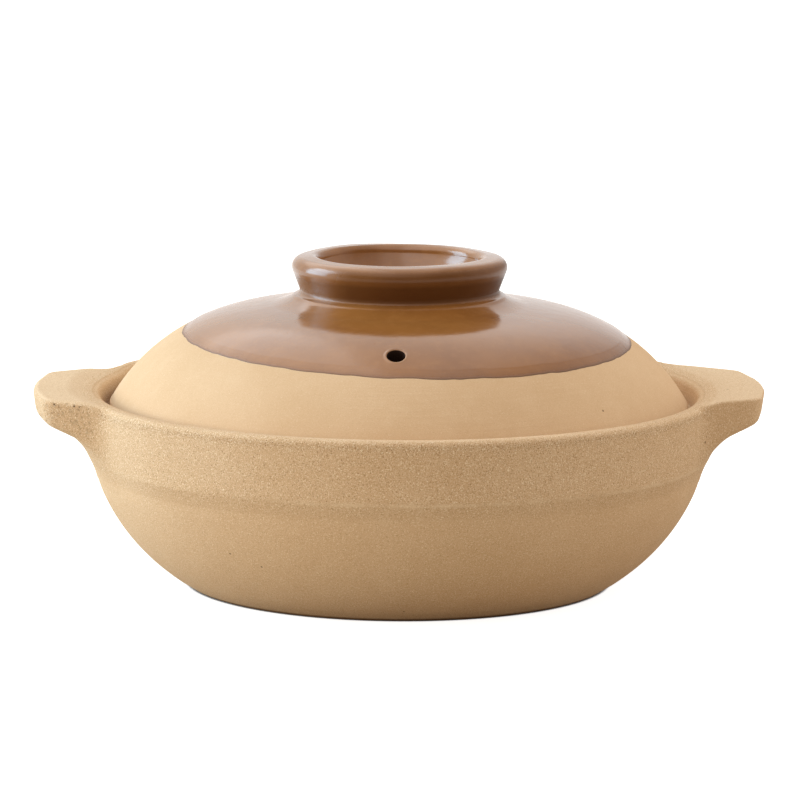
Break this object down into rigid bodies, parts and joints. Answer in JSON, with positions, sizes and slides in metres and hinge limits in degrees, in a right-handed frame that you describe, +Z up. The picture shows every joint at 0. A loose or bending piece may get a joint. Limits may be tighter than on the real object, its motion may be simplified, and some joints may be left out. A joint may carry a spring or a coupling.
{
  "type": "chinese sand pot",
  "caption": "Wide shallow cooking pot of raw sandy clay with lug handles and a domed, brown-glazed lid that has a ring knob and a steam hole.",
  "frame": {"origin": "centre of the foot, on the surface that the pot stands on", "axes": "+X through the right handle, +Y to the back, +Z up; the steam hole faces the front, -Y"},
  "size_m": [0.292, 0.2526, 0.1312],
  "materials": {
    "raw_clay": "unglazed, matt, fine sand in the surface",
    "brown_glaze": "satin gloss with fine pits"
  },
  "bodies": {
    "pot": {"pot_body": "raw_clay", "handle_left": "raw_clay", "handle_right": "raw_clay", "pot_glaze": "brown_glaze"},
    "lid": {"lid_dome": "raw_clay", "knob_ring": "raw_clay", "lid_glaze": "brown_glaze", "lid_underglaze": "brown_glaze"}
  },
  "joints": [
    {"name": "lid_lift", "type": "slide", "parent": "pot", "child": "lid", "axis": [0, 0, 1], "range_m": [0, 0.15]}
  ]
}
